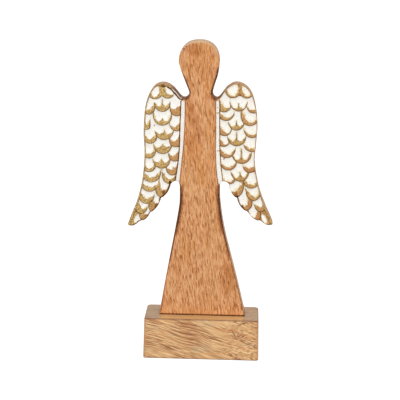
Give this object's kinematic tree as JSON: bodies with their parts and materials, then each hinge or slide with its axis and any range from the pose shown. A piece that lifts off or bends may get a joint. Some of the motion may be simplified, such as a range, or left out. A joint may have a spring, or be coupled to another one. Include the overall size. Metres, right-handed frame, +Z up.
{
  "type": "wooden angel statue",
  "caption": "Flat wooden angel with gouged, painted feather wings, standing on a rectangular wooden block as a shelf or table ornament.",
  "frame": {"origin": "middle of the block's underside", "axes": "+Z up, -Y towards the angel's front, +X to the right as seen from the front"},
  "size_m": [0.1389, 0.05, 0.3055],
  "materials": {
    "waxed_wood": "waxed satin, with white and gold paint in the carved wings",
    "block_wood": "lacquered satin"
  },
  "bodies": {
    "root": {"angel_figure": "waxed_wood", "plinth_block": "block_wood"}
  },
  "joints": []
}
